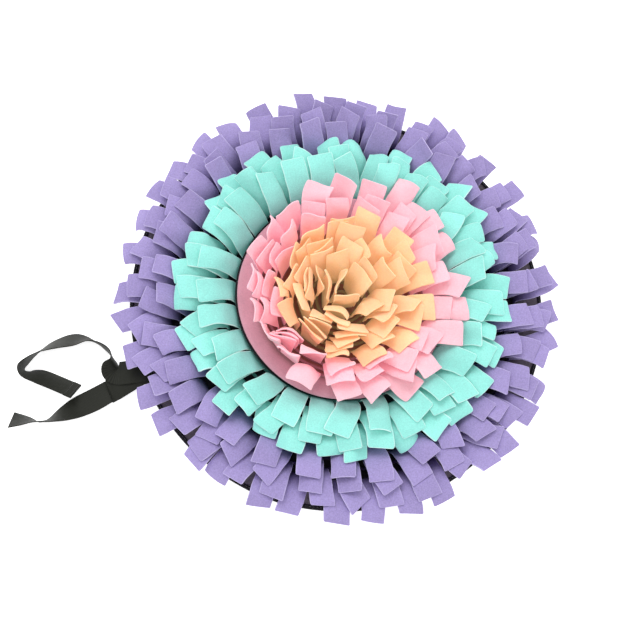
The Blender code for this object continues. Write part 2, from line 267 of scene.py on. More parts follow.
# The fine cloth of a tab. Bow is the rise of its middle over its edges, wave the same for one side against
# the other, tuck how much more the tip hangs, crease a bend across, flare how much wider the tip is, turn a
# twist, swing a sideways sway, and ripple the rise of small waves. Each has a middle and a spread. Slant
# skews the cut at the tip, waist is how much narrower the root is, and corner the roundness of the two
# corners. Hang gives a bearing round which the tips hang more, how far from it, and by how much.
tabCloth = {
    "thick": 1.15,
    "edgeRound": 0.2,
    "shares": [part / 17 * 0.975 for part in range(18)] + [0.992, 1.0],     # rows, closer at the cut end
    "columns": (-1.0, -0.93, -0.8, -0.55, -0.28, 0.0, 0.28, 0.55, 0.8, 0.93, 1.0),
    "waver": 0.25,          # how uneven the cut edges are
    "tuckFrom": 0.55,       # shares of a tab's length
    "tuckOver": 0.45,
    "creaseOver": 0.16,
    "waistOver": 0.45,
    "bowOver": 0.5,
    "waveOver": 0.6,
    "rippleOver": 0.3,
    "creaseAt": (0.25, 0.75),
    "waists": (0.4, 1.4),   # shares of the waist and corner given below
    "corners": (0.5, 1.6),
    "steepest": 150,        # degrees
    "sway": 3.4,            # radians of the sideways sway along a tab
    "stripTone": -11.0,     # the sewn strips lie in the tabs' shade
    "middleShade": 0.8,           # how far the root's painted shade climbs the innermost tabs, in the shaded middle of the mat
    "middleShadeWithin": 50.0,
    "borderHighlight": 0.85,         # how pale a tab is at its cut edge: a painted highlight
    "lavender": {
        "bow": (1.1, 1.6), "wave": (0.0, 1.2), "tuck": (5.0, 16.0), "crease": (0.0, 18.0),
        "flare": (0.0, 0.06), "turn": (0.0, 14.0), "swing": (0.0, 18.0), "ripple": (0.35, 0.2),
        "slant": 12.0, "waist": 0.05, "corner": 0.8, "hang": (95.0, 80.0, -34.0),
    },
    "mint": {
        "bow": (1.8, 2.4), "wave": (0.0, 2.4), "tuck": (30.0, 30.0), "crease": (4.0, 32.0),
        "flare": (0.06, 0.12), "turn": (0.0, 26.0), "swing": (0.0, 30.0), "ripple": (0.6, 0.4),
        "slant": 14.0, "waist": 0.12, "corner": 1.6, "hang": (95.0, 80.0, -10.0),
    },
    "pink": {
        "bow": (1.2, 3.8), "wave": (0.0, 2.6), "tuck": (8.0, 24.0), "crease": (0.0, 28.0),
        "flare": (0.16, 0.12), "turn": (0.0, 30.0), "swing": (0.0, 20.0), "ripple": (0.9, 0.6),
        "slant": 14.0, "waist": 0.12, "corner": 1.3, "hang": (195.0, 70.0, 16.0),
    },
    "peach": {
        "bow": (0.6, 4.2), "wave": (0.0, 2.8), "tuck": (16.0, 30.0), "crease": (4.0, 32.0),
        "flare": (0.2, 0.14), "turn": (0.0, 36.0), "swing": (0.0, 20.0), "ripple": (0.8, 0.6),
        "slant": 14.0, "waist": 0.12, "corner": 1.3, "hang": (205.0, 80.0, 36.0),
    },
}
bends = ("bow", "wave", "tuck", "crease", "turn", "swing", "flare")     # a neighbour can be in their way
Fine = namedtuple("Fine", bends + ("ripple", "slant", "waist", "corner", "creaseAt", "phase", "tone"))


def ease(value):
    value = np.clip(value, 0.0, 1.0)
    return value * value * (3 - 2 * value)


def fineWish(cloth, bearing, chance):
    look = tabCloth[cloth]
    wish = {name: look[name][0] + look[name][1] * chance.uniform(-1, 1) for name in bends + ("ripple",)}
    middle, reach, more = look["hang"]
    wish["tuck"] += more * float(ease(1 - apart(bearing, middle) / reach))
    return Fine(
        slant=math.tan(math.radians(chance.uniform(-1, 1) * look["slant"])),
        waist=look["waist"] * chance.uniform(*tabCloth["waists"]),
        corner=look["corner"] * chance.uniform(*tabCloth["corners"]),
        creaseAt=chance.uniform(*tabCloth["creaseAt"]),
        phase=chance.uniform(0, 2 * math.pi),
        tone=chance.uniform(-1, 1),
        **wish,
    )


def tabCurve(tab, fine, steps=24):
    # distance along a tab, its centre line and three directions, as it sways, creases and tucks under
    along = np.linspace(0.0, 1.0, 2 * steps + 1)
    slope = tab.climb + (tab.droop - tab.climb) * along
    slope = slope - fine.tuck * ease((along - tabCloth["tuckFrom"]) / tabCloth["tuckOver"])
    slope = slope - fine.crease * ease((along - fine.creaseAt) / tabCloth["creaseOver"])
    slope = np.radians(np.minimum(slope, tabCloth["steepest"]))
    sway = np.sin(tabCloth["sway"] * along + fine.phase) - math.sin(fine.phase)
    turn = tab.bearing + tab.sweep * along
    turn = np.radians(turn + fine.swing * sway)
    ahead = np.stack([np.cos(turn) * np.cos(slope), np.sin(turn) * np.cos(slope), np.sin(slope)], 1)
    flat = np.stack([-np.sin(turn), np.cos(turn), 0 * turn], 1)
    lift = np.cross(ahead, flat)
    twist = np.radians(tab.twist * along + fine.turn * ease(along))[:, None]
    across = flat * np.cos(twist) + lift * np.sin(twist)
    depth = np.cross(ahead, across)
    start = np.array(tabPath(tab, 1)[0][0])
    centre = start + np.concatenate([[np.zeros(3)], np.cumsum(ahead[1::2], 0)]) * tab.length / steps
    return np.linspace(0.0, tab.length, steps + 1), centre, ahead[::2], depth[::2], across[::2]


def alongCurve(where, marks, values):
    return np.stack([np.interp(where, marks, values[:, axis]) for axis in range(3)], -1)


def unit(vectors):
    return vectors / np.linalg.norm(vectors, axis=-1)[..., None]


def tabSurface(tab, fine, shares, columns, grow=0.0):
    # the tab's upper and lower face as grids of points, and the rounded cut round its edge
    marks, centre, ahead, depth, across = tabCurve(tab, fine)
    side = np.array(columns)[None, :]
    share = np.array(shares)[:, None]
    half = tabWide / 2 + grow
    corner = np.clip((np.abs(side) * half - half + fine.corner) / fine.corner, 0, 1)
    reach = tab.length + fine.slant * half * side - fine.corner * (1 - np.sqrt(1 - corner ** 2))
    place = share * reach
    narrow = fine.waist * (1 - ease(share / tabCloth["waistOver"]))
    wide = half * (1 - narrow) * (1 + fine.flare * ease(share))
    # the cut edges waver in waves of 44 and 19 mm
    jag = np.sin(place / 7.0 + fine.phase + 2.1 * side) + 0.6 * np.sin(place / 3.1 + 2 * fine.phase - side)
    wide = wide + tabCloth["waver"] * jag * np.abs(side) ** 3
    bow = fine.bow * ease(share / tabCloth["bowOver"])
    # a bowed or waved tab is drawn in at its sides
    pull = 1 - 0.67 * (bow / half) ** 2 * side ** 2 - 0.3 * (fine.wave / half) ** 2
    # and the cloth ripples in waves of 53 and 26 mm
    ripples = np.sin(place / 8.5 + fine.phase + 1.4 * side)
    ripples = ripples + 0.5 * np.sin(place / 4.1 - fine.phase - 2.3 * side)
    wave = fine.wave * ease(share / tabCloth["waveOver"]) * np.sin(2.6 * side + fine.phase)
    lift = bow * (1 / 3 - side ** 2) + wave
    lift = lift + fine.ripple * ripples * ease(share / tabCloth["rippleOver"])
    over = np.maximum(place - tab.length, 0.0)[..., None]
    at = alongCurve(place, marks, centre) + alongCurve(place, marks, ahead) * over
    up = alongCurve(place, marks, depth)
    sideways = alongCurve(place, marks, across)
    middle = at + sideways * (wide * side * pull)[..., None] + up * lift[..., None]
    lengthways = unit(np.gradient(middle, axis=0))
    crossways = unit(np.gradient(middle, axis=1))
    normal = unit(np.cross(lengthways, crossways))
    halfThick = (tabCloth["thick"] / 2 + grow) * normal
    edge = tabCloth["edgeRound"]
    return {
        "top": middle + halfThick,
        "bottom": middle - halfThick,
        "left": middle[:, 0] - crossways[:, 0] * edge,
        "right": middle[:, -1] + crossways[:, -1] * edge,
        "tip": middle[-1, 1:-1] + lengthways[-1, 1:-1] * edge,
        "along": np.broadcast_to(share, place.shape),
    }


def facesAlong(first, second):
    # faces between two rows of points, which run along the first row
    return list(zip(first, first[1:], second[1:], second))


def facesAcross(first, second):
    # the same, but they set out across to the second row
    return list(zip(first, second, second[1:], first[1:]))


def tabFaces(rows, wide):
    # the same for every tab: point numbers of its faces
    top = np.arange(rows * wide).reshape(rows, wide)
    bottom = top + top.size
    left = 2 * top.size + np.arange(rows)
    right = left + rows
    tip = np.concatenate([[left[-1]], right[-1] + 1 + np.arange(wide - 2), [right[-1]]])
    faces = []
    for column in range(wide - 1):
        faces += facesAlong(top[:, column], top[:, column + 1])
    for row in range(rows - 1):
        faces += facesAlong(bottom[row], bottom[row + 1])
    faces += facesAcross(top[:, 0], left) + facesAcross(left, bottom[:, 0])
    faces += facesAlong(top[:, -1], right) + facesAlong(right, bottom[:, -1])
    faces += facesAcross(top[-1], tip) + facesAcross(tip, bottom[-1])
    faces += facesAlong(top[0], bottom[0])
    faces += [(top[0, 0], bottom[0, 0], left[0]), (top[0, -1], right[0], bottom[0, -1])]
    return [tuple(int(point) for point in face) for face in faces]


def surfacePoints(surface):
    names = ("top", "bottom", "left", "right", "tip")
    return np.concatenate([surface[name].reshape(-1, 3) for name in names])


# a tab bends as much of its own way as its neighbours leave room for
bendCheck = {
    "shares": [part / 12 for part in range(13)],
    "columns": (-1.0, -0.5, 0.0, 0.5, 1.0),
    "steps": (0.25, 0.5, 0.75, 1.0),
    "grow": 0.2,               # how far a tab's sides are moved out when it is tried
}
bendFaces = tabFaces(len(bendCheck["shares"]), len(bendCheck["columns"]))


def treeOf(tab, fine):
    surface = tabSurface(tab, fine, bendCheck["shares"], bendCheck["columns"], bendCheck["grow"])
    return BVHTree.FromPolygons(surfacePoints(surface).tolist(), bendFaces)


def nearestTab(tabs, bearing):
    return min(tabs, key=lambda tab: apart(tab.bearing, bearing))


def filledTabs(groups):
    # adds the tabs of the strips in fullness to the groups of their rings
    chance = random.Random("fullness")
    plain = fineWish("peach", 0.0, chance)._replace(**dict.fromkeys(bends, 0.0), ripple=0.0, waist=0.0)
    placed = [(tabPath(tab, 2)[1][0], treeOf(tab, plain)) for group in groups for tab in group]
    settled = [list(group) for group in groups]
    bareFrom, bareReach = fullness["bare"]
    for index, ring in enumerate(rings):
        more = fullness.get(ring.name)
        added = 0
        for attempt in range(fullness["tries"] if more else 0):
            tab = evenTab(more, chance.uniform(0, 360))
            outer = nearestTab(settled[index], tab.bearing)
            inner = nearestTab(settled[index + 1], tab.bearing) if index + 1 < len(rings) else tab
            share = chance.uniform(*fullness["between"])
            moved = {}
            for name, most in fullness["spread"].items():
                middle = getattr(outer, name) + (getattr(inner, name) - getattr(outer, name)) * share
                moved[name] = middle + chance.uniform(-most, most)
            tab = tab._replace(**moved)
            middle = tabPath(tab, 2)[1][0]
            tree = treeOf(tab, plain)
            near = [other for place, other in placed if (place - middle).length < layout["reach"]]
            bare = ring.cloth == "peach" and apart(tab.bearing, bareFrom) < bareReach
            if added < more.count and not bare and not any(tree.overlap(other) for other in near):
                placed.append((middle, tree))
                groups[index].append(tab)
                added += 1
        if more:
            print(more.name, "has", added, "tabs")


def bentTabs(groups):
    chance = random.Random("bends")
    tabs = [tab for group in groups for tab in group]
    wishes = [fineWish(ring.cloth, tab.bearing, chance)
              for ring, group in zip(rings, groups) for tab in group]
    fines = [wish._replace(**dict.fromkeys(bends, 0.0)) for wish in wishes]
    trees = [treeOf(tab, fine) for tab, fine in zip(tabs, fines)]
    around = nearTabs(tabs)

    def touched(index, tree):
        return sum(len(tree.overlap(trees[other])) for other in around[index])

    least = [touched(index, trees[index]) for index in range(len(tabs))]
    print("tabs that touch before they bend:", sum(count > 0 for count in least))
    for step in bendCheck["steps"]:
        for name in bends:
            for index, tab in enumerate(tabs):
                trial = fines[index]._replace(**{name: getattr(wishes[index], name) * step})
                tree = treeOf(tab, trial)
                now = touched(index, tree)
                if now <= least[index]:
                    fines[index] = trial
                    trees[index] = tree
                    least[index] = now
    found = iter(fines)
    return [[next(found) for tab in group] for group in groups]


filledTabs(tabGroups)
fineGroups = bentTabs(tabGroups)
gone = [abs(fine.turn) for group in fineGroups for fine in group]
print("tabs bent, mean turn", round(sum(gone) / len(gone), 1), "degrees")


# an effect that several cloths share is a group of shader nodes, built once
def newGroup(name, inputs):
    group = bpy.data.node_groups.new(name, "ShaderNodeTree")
    for label, kind, value in inputs:
        socket = group.interface.new_socket(name=label, in_out="INPUT", socket_type="NodeSocket" + kind)
        if value is not None:
            socket.default_value = value
    for label, kind in (("Colour", "Color"), ("Height", "Float"), ("Roughness", "Float")):
        group.interface.new_socket(name=label, in_out="OUTPUT", socket_type="NodeSocket" + kind)
    return group, group.nodes.new("NodeGroupInput").outputs, group.nodes.new("NodeGroupOutput")


def feed(tree, node, inputs):
    # inputs holds values, or sockets to link from
    for name, value in inputs.items():
        if isinstance(value, bpy.types.NodeSocket):
            tree.links.new(value, node.inputs[name])
        else:
            node.inputs[name].default_value = value


def addNode(tree, kind, inputs=None, **settings):
    node = tree.nodes.new(kind)
    for name, value in settings.items():
        setattr(node, name, value)
    feed(tree, node, inputs or {})
    return node


def addMath(tree, operation, *values, clamp=False):
    inputs = dict(enumerate(values))
    return addNode(tree, "ShaderNodeMath", inputs, operation=operation, use_clamp=clamp).outputs[0]


def addMix(tree, share, first, second):
    inputs = {0: share, 6: first, 7: second}
    return addNode(tree, "ShaderNodeMix", inputs, data_type="RGBA", clamp_factor=True).outputs[2]


def addNoise(tree, vector, scale, detail=2.0, rough=0.5):
    inputs = {"Vector": vector, "Scale": scale, "Detail": detail, "Roughness": rough}
    return addNode(tree, "ShaderNodeTexNoise", inputs).outputs["Fac"]


# scales are for each metre; in a pair, the first number times the noise is added to the second
pileLook = {
    "bump": 0.35, "high": 0.0006, "sheenRough": 0.4, "shine": 0.2, "glowReach": 0.004,
    "grainScale": 700.0, "patchScale": 55.0, "pileScale": 420.0, "grainHigh": 0.6, "pileHigh": 0.8,
    "toneLight": 0.06, "patchLight": (0.16, 0.92), "cutShare": 0.75, "rough": (0.12, 0.84),
}


def brushedFleeceGroup():
    # soft short pile: a fine grain, larger brushed patches, a painted highlight along the cut edge and
    # painted shade at the root
    group, given, made = newGroup(
        "brushedFleece",
        [
            ("Vector", "Vector", None),
            ("Colour", "Color", None),
            ("Root Colour", "Color", None),
            ("Cut Colour", "Color", None),
            ("Along", "Float", 1.0),
            ("Cut", "Float", 0.0),
            ("Tone", "Float", 0.0),
            ("Root Reach", "Float", 0.5),
            ("Grain", "Float", 0.4),
        ],
    )
    grain = addNoise(group, given["Vector"], pileLook["grainScale"], 4.0, 0.7)
    patch = addNoise(group, given["Vector"], pileLook["patchScale"])
    pile = addNoise(group, given["Vector"], pileLook["pileScale"])
    # painted shade: the dark root colour, where the tabs crowd together, gives way to the tab's own colour
    # along it
    outOfRootShade = addMath(group, "DIVIDE", given["Along"], given["Root Reach"], clamp=True)
    body = addMix(group, outOfRootShade, given["Root Colour"], given["Colour"])
    # Tone is a tab's own random tone; on the sewn strips it carries painted shade
    toneLight = addMath(group, "MULTIPLY_ADD", given["Tone"], pileLook["toneLight"], 1.0)
    grainy = addMath(group, "SUBTRACT", grain, 0.5)
    grainLight = addMath(group, "MULTIPLY_ADD", grainy, given["Grain"], 1.0)
    patchLight = addMath(group, "MULTIPLY_ADD", patch, *pileLook["patchLight"])
    light = addMath(group, "MULTIPLY", addMath(group, "MULTIPLY", toneLight, grainLight), patchLight)
    lit = addNode(group, "ShaderNodeVectorMath", {0: body, "Scale": light}, operation="SCALE").outputs[0]
    # painted highlight: the pale colour along the tabs' cut edges
    cut = addMath(group, "MULTIPLY", given["Cut"], pileLook["cutShare"], clamp=True)
    high = addMath(group, "MULTIPLY", pile, pileLook["pileHigh"])
    feed(group, made, {
        "Colour": addMix(group, cut, lit, given["Cut Colour"]),
        "Height": addMath(group, "MULTIPLY_ADD", grain, pileLook["grainHigh"], high),
        "Roughness": addMath(group, "MULTIPLY_ADD", patch, *pileLook["rough"]),
    })
    return group


weaveLook = {
    "high": 0.0004, "shine": 0.25,
    "slubScale": 700.0, "cloudScale": 40.0, "cloudLight": (0.3, 0.85), "rough": (0.2, 0.7),
}


def plainWeaveGroup():
    # warp and weft that pass over and under by turns, with slubs and a few paler threads
    group, given, made = newGroup(
        "plainWeave",
        [
            ("Vector", "Vector", None),
            ("Threads", "Float", 1600.0),
            ("Warp Colour", "Color", None),
            ("Weft Colour", "Color", None),
            ("Fleck", "Float", 0.3),
        ],
    )
    axes = addNode(group, "ShaderNodeSeparateXYZ", {0: given["Vector"]}).outputs
    turns = addMath(group, "MULTIPLY", given["Threads"], math.pi)
    warp = addMath(group, "SINE", addMath(group, "MULTIPLY", axes[0], turns))
    weft = addMath(group, "SINE", addMath(group, "MULTIPLY", axes[1], turns))
    over = addMath(group, "MULTIPLY_ADD", addMath(group, "MULTIPLY", warp, weft), 0.5, 0.5)
    slub = addNoise(group, given["Vector"], weaveLook["slubScale"], 3.0, 0.6)
    cloud = addNoise(group, given["Vector"], weaveLook["cloudScale"])
    threads = addMix(group, over, given["Warp Colour"], given["Weft Colour"])
    fleck = addMath(group, "MULTIPLY", given["Fleck"], addMath(group, "SUBTRACT", slub, 0.5))
    cloudLight = addMath(group, "MULTIPLY_ADD", cloud, *weaveLook["cloudLight"])
    light = addMath(group, "ADD", cloudLight, fleck)
    lit = addNode(group, "ShaderNodeVectorMath", {0: threads, "Scale": light}, operation="SCALE").outputs[0]
    crowns = [addMath(group, "ABSOLUTE", thread) for thread in (warp, weft)]
    feed(group, made, {
        "Colour": lit,
        "Height": addMath(group, "MULTIPLY_ADD", *crowns, slub),
        "Roughness": addMath(group, "MULTIPLY_ADD", slub, *weaveLook["rough"]),
    })
    return group


fleeceGroup = brushedFleeceGroup()
weaveGroup = plainWeaveGroup()


def newMaterial(name):
    material = bpy.data.materials.new(name)
    material.use_nodes = True
    tree = material.node_tree
    shader = tree.nodes["Principled BSDF"]
    feed(tree, shader, {"Roughness": 0.9})
    return material, tree, shader


def objectSpot(tree):
    return addNode(tree, "ShaderNodeTexCoord").outputs["Object"]


def addBump(tree, height, strength, distance):
    inputs = {"Height": height, "Strength": strength, "Distance": distance}
    return addNode(tree, "ShaderNodeBump", inputs).outputs["Normal"]


def finishCloth(tree, shader, cloth, bump, distance, more):
    feed(tree, shader, {
        "Base Color": cloth.outputs["Colour"],
        "Roughness": cloth.outputs["Roughness"],
        "Normal": addBump(tree, cloth.outputs["Height"], bump, distance),
        **more,
    })


def attributeFac(tree, name):
    return addNode(tree, "ShaderNodeAttribute", attribute_name=name).outputs["Fac"]


# root is the colour of painted shade at the tabs' roots, where they rise among the others
fleeceLook = {
    "lavender": {
        "colour": (0.338, 0.279, 0.54, 1), "root": (0.095, 0.063, 0.19, 1), "cut": (0.65, 0.58, 0.87, 1),
        "grain": 0.9, "sheen": 0.1, "glow": 0.05, "through": 0.0,
    },
    "mint": {
        "colour": (0.287, 0.72, 0.65, 1), "root": (0.19, 0.56, 0.51, 1), "cut": (0.80, 0.98, 0.95, 1),
        "grain": 0.5, "sheen": 0.1, "glow": 0.1, "through": 0.09,
    },
    "pink": {
        "colour": (0.91, 0.49, 0.55, 1), "root": (0.93, 0.42, 0.50, 1), "cut": (0.89, 0.49, 0.55, 1),
        "grain": 0.35, "sheen": 0.1, "glow": 0.6, "through": 0.17,     # thin cloth; through is an emission, a painted glow that lifts the shade where light would come through
    },
    "peach": {
        "colour": (0.89, 0.565, 0.33, 1), "root": (0.66, 0.50, 0.27, 1), "cut": (0.87, 0.57, 0.34, 1),
        "grain": 0.35, "sheen": 0.1, "glow": 0.6, "through": 0.17,
    },
}


def fleeceMaterial(cloth):
    look = fleeceLook[cloth]
    material, tree, shader = newMaterial(cloth + "Fleece")
    fleece = addNode(tree, "ShaderNodeGroup", {
        "Vector": objectSpot(tree),
        "Colour": look["colour"],
        "Root Colour": look["root"],
        # the pale colour along the cut edges is a painted highlight
        "Cut Colour": look["cut"],
        "Along": attributeFac(tree, "along"),
        "Cut": attributeFac(tree, "cut"),
        "Tone": attributeFac(tree, "tone"),
        "Grain": look["grain"],
    }, node_tree=fleeceGroup)
    finishCloth(tree, shader, fleece, pileLook["bump"], pileLook["high"], {
        "Sheen Weight": look["sheen"],
        "Sheen Roughness": pileLook["sheenRough"],
        "Specular IOR Level": pileLook["shine"],
        "Subsurface Weight": look["glow"],
        "Subsurface Radius": look["colour"][:3],
        "Subsurface Scale": pileLook["glowReach"],
        # a painted glow: the fleece gives out its own colour as light, lifting its shade
        "Emission Color": fleece.outputs["Colour"],
        "Emission Strength": look["through"],
    })
    return material


# deep is the colour of painted shade, where the cloth lies among the tabs
wovenLook = {
    "baseCloth": {
        "warp": (0.19, 0.165, 0.18, 1), "weft": (0.10, 0.085, 0.095, 1), "threads": 1300.0,
        "fleck": 1.0, "bump": 0.5, "deep": (0.012, 0.009, 0.013, 1),
    },
    "mauveCloth": {
        "warp": (0.74, 0.42, 0.50, 1), "weft": (0.60, 0.30, 0.38, 1), "threads": 1500.0,
        "fleck": 0.4, "bump": 0.4, "deep": (0.30, 0.145, 0.12, 1),
    },
    "blackBinding": {
        "warp": (0.018, 0.016, 0.02, 1), "weft": (0.008, 0.008, 0.01, 1), "threads": 1500.0,
        "fleck": 0.5, "bump": 0.5, "deep": (0.008, 0.008, 0.01, 1),
    },
}


def wovenMaterial(name):
    look = wovenLook[name]
    material, tree, shader = newMaterial(name)
    # painted shade: the cloth turns to its deep colour where the tabs shade it
    deep = attributeFac(tree, "deep")
    weave = addNode(tree, "ShaderNodeGroup", {
        "Vector": objectSpot(tree),
        "Threads": look["threads"],
        "Warp Colour": addMix(tree, deep, look["warp"], look["deep"]),
        "Weft Colour": addMix(tree, deep, look["weft"], look["deep"]),
        "Fleck": look["fleck"],
    }, node_tree=weaveGroup)
    more = {"Specular IOR Level": weaveLook["shine"]}
    finishCloth(tree, shader, weave, look["bump"], weaveLook["high"], more)
    return material


ribbonLook = {
    "rib": (0.022, 0.0245, 0.0165, 1), "gap": (0.009, 0.0095, 0.007, 1), "ribs": 900.0, "dust": 300.0,
    "bump": 0.5, "high": 0.0003, "sheen": 0.04, "shine": 0.22, "dustShade": (0.7, 0.5), "rough": (0.25, 0.42),
}


def ribbonMaterial():
    # the ribs run across the tape, whose length is in the attribute runs, in metres
    look = ribbonLook
    material, tree, shader = newMaterial("blackRibbon")
    turns = addMath(tree, "MULTIPLY", attributeFac(tree, "runs"), look["ribs"] * 2 * math.pi)
    rib = addMath(tree, "MULTIPLY_ADD", addMath(tree, "SINE", turns), 0.5, 0.5)
    dust = addNoise(tree, objectSpot(tree), look["dust"], 3.0)
    dusty = addMath(tree, "MULTIPLY_ADD", dust, *look["dustShade"])
    shade = addMath(tree, "MULTIPLY", rib, dusty, clamp=True)
    feed(tree, shader, {
        "Base Color": addMix(tree, shade, look["gap"], look["rib"]),
        "Roughness": addMath(tree, "MULTIPLY_ADD", dust, *look["rough"]),
        "Normal": addBump(tree, rib, look["bump"], look["high"]),
        "Sheen Weight": look["sheen"],
        "Specular IOR Level": look["shine"],
    })
    return material


threadLook = {
    "colour": (0.05, 0.048, 0.05, 1), "light": (0.13, 0.125, 0.12, 1), "twist": 2600.0, "rough": (0.3, 0.35),
}


def threadMaterial():
    material, tree, shader = newMaterial("sewingThread")
    twist = addNoise(tree, objectSpot(tree), threadLook["twist"])
    feed(tree, shader, {
        "Base Color": addMix(tree, twist, threadLook["colour"], threadLook["light"]),
        "Roughness": addMath(tree, "MULTIPLY_ADD", twist, *threadLook["rough"]),
    })
    return material


materials = {cloth: fleeceMaterial(cloth) for cloth in fleeceLook}
materials.update({name: wovenMaterial(name) for name in wovenLook})
materials["blackRibbon"] = ribbonMaterial()
materials["thread"] = threadMaterial()
print("materials made:", len(materials))


def addPiece(name, points, faces, material, attributes=None):
    # points in millimetres
    mesh = bpy.data.meshes.new(name)
    mesh.from_pydata((np.asarray(points) * mm).tolist(), [], faces)
    mesh.update()
    mesh.shade_smooth()
    for label, values in (attributes or {}).items():
        data = mesh.attributes.new(label, "FLOAT", "POINT").data
        data.foreach_set("value", np.asarray(values, np.float32))
    mesh.materials.append(materials[material])
    piece = bpy.data.objects.new(name, mesh)
    bpy.context.scene.collection.objects.link(piece)
    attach(piece, "root")
    return piece


def turnedGrid(section, steps, shape=None):
    # a closed section of (radius, height) points turned round the middle; shape may move each ring
    section = np.array(section)
    turns = np.linspace(0, 2 * math.pi, steps, endpoint=False)
    radius = np.repeat(section[None, :, 0], steps, 0)
    height = np.repeat(section[None, :, 1], steps, 0)
    if shape:
        radius, height = shape(radius, height, turns[:, None])
    points = np.stack([radius * np.cos(turns)[:, None], radius * np.sin(turns)[:, None], height], -1)
    count = section.shape[0]
    faces = []
    for step in range(steps):
        here = step * count
        there = (step + 1) % steps * count
        for point in range(count):
            follow = (point + 1) % count
            faces.append((here + point, here + follow, there + follow, there + point))
    return points.reshape(-1, 3), faces


def waves(turns, parts):
    # a sum of (count, height, phase) waves round the mat
    return sum(height * np.sin(count * turns + phase) for count, height, phase in parts)


stripLook = {"steps": 96, "flank": 0.7, "shoulder": 0.6}


def rootStrip(ring):
    # the uncut edge of the strip, sewn flat to the cloth under it
    inner = ring.radius - stripWide / 2
    outer = ring.radius + stripWide / 2
    low = tierTop(ring)(inner) + layGap
    high = tierTop(ring)(outer) + layGap
    section = [
        (inner, low),
        (inner, low + stripThick * stripLook["flank"]),
        (inner + stripLook["shoulder"], low + stripThick),
        (outer - stripLook["shoulder"], high + stripThick),
        (outer, high + stripThick * stripLook["flank"]),
        (outer, high),
    ]
    return turnedGrid(section, stripLook["steps"])


def tabRing(ring, tabs, fines):
    shares = tabCloth["shares"]
    columns = tabCloth["columns"]
    template = tabFaces(len(shares), len(columns))
    # the cut edges are given a painted highlight
    borderHighlight = np.zeros((len(shares), len(columns)))
    borderHighlight[:, 0] = borderHighlight[:, -1] = borderHighlight[-1, :] = tabCloth["borderHighlight"]
    points = []
    faces = []
    attributes = {"along": [], "cut": [], "tone": []}

    def add(morePoints, moreFaces, **values):
        total = sum(len(part) for part in points)
        faces.extend(tuple(point + total for point in face) for face in moreFaces)
        points.append(morePoints)
        for name, value in values.items():
            attributes[name].append(np.broadcast_to(value, len(morePoints)))

    for strip in [ring] + [fullness[name] for name in fullness if name == ring.name]:
        # painted shade: the sewn strips get the root colour and a low tone, as if in the tabs' shade
        add(*rootStrip(strip), along=0.0, cut=0.0, tone=tabCloth["stripTone"])
    # painted shade: near the middle of the mat the dark root colour reaches farther up the tabs
    climbed = 1 - tabCloth["middleShade"] * float(ease(1 - ring.radius / tabCloth["middleShadeWithin"]))
    for tab, fine in zip(tabs, fines):
        surface = tabSurface(tab, fine, shares, columns)
        made = surfacePoints(surface)
        share = surface["along"] * climbed
        edges = [share[:, 0], share[:, -1], share[-1, 1:-1]]
        along = np.concatenate([share.ravel(), share.ravel(), *edges])
        cut = np.concatenate([borderHighlight.ravel(), borderHighlight.ravel(), np.ones(len(made) - 2 * borderHighlight.size)])
        add(made, template, along=along, cut=cut, tone=fine.tone)
    joined = {name: np.concatenate(values) for name, values in attributes.items()}
    piece = addPiece(ring.name + "_tabs", np.concatenate(points), faces, ring.cloth, joined)
    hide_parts(ring.name)


for ring, tabs, fines in zip(rings, tabGroups, fineGroups):
    tabRing(ring, tabs, fines)
print("rings of tabs made")

# waves round the mat are rows of (count, height, phase)
matLook = {
    "steps": 200, "bands": 28, "outOfRound": ((3, 0.4, 0.7), (7, 0.3, 2.1), (16, 0.2, 0.3)), "drawnIn": 0.6,
    "unevenFrom": 120, "unevenOver": 90,
    "sag": 0.35, "sags": ((5, 0.5, 0.4), (9, 0.3, 2.0), (14, 0.2, 1.1)), "sagDown": 1.0,
    "sagFrom": 60, "sagOver": 100, "sagEdge": 12,
    "paintedShadeFrom": 196.0, "paintedShadeOver": 12.0,     # painted shade: the cloth is darker among the tabs, where their shade falls
    "ledge": ((0.0, 1.4), (6.9, 1.35), (8.2, 0.0)),     # in from the edge, and height: room for the binding
}


def matEdge(radius, turns):
    # cut by hand: the outer part of the mat is a little out of round
    share = np.clip((radius - matLook["unevenFrom"]) / matLook["unevenOver"], 0, 1)
    return radius + (waves(turns, matLook["outOfRound"]) - matLook["drawnIn"]) * share


def baseCloth():
    bands = np.linspace(0.0001, 1.0, matLook["bands"])     # the innermost ring is all but a point
    section = [(baseEdge * share, baseTop) for share in bands]
    section += [(baseEdge - inwards, height) for inwards, height in matLook["ledge"]]
    section.append((baseEdge * bands[0], 0.0))

    def settle(radius, height, turns):
        dip = waves(turns, matLook["sags"]) - matLook["sagDown"]
        inside = np.clip((radius - matLook["sagFrom"]) / matLook["sagOver"], 0, 1)
        share = inside * np.clip((baseEdge - radius) / matLook["sagEdge"], 0, 1)
        top = height > baseTop / 2
        return matEdge(radius, turns), np.where(top, height + matLook["sag"] * dip * share, height)

    points, faces = turnedGrid(section, matLook["steps"], settle)
    around = np.linalg.norm(points[:, :2], axis=1)
    # painted shade among the tabs
    deep = np.clip((matLook["paintedShadeFrom"] - around) / matLook["paintedShadeOver"], 0, 1)
    piece = addPiece("base_cloth", points, faces, "baseCloth", {"deep": deep})
    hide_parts("base_disc")


baseCloth()

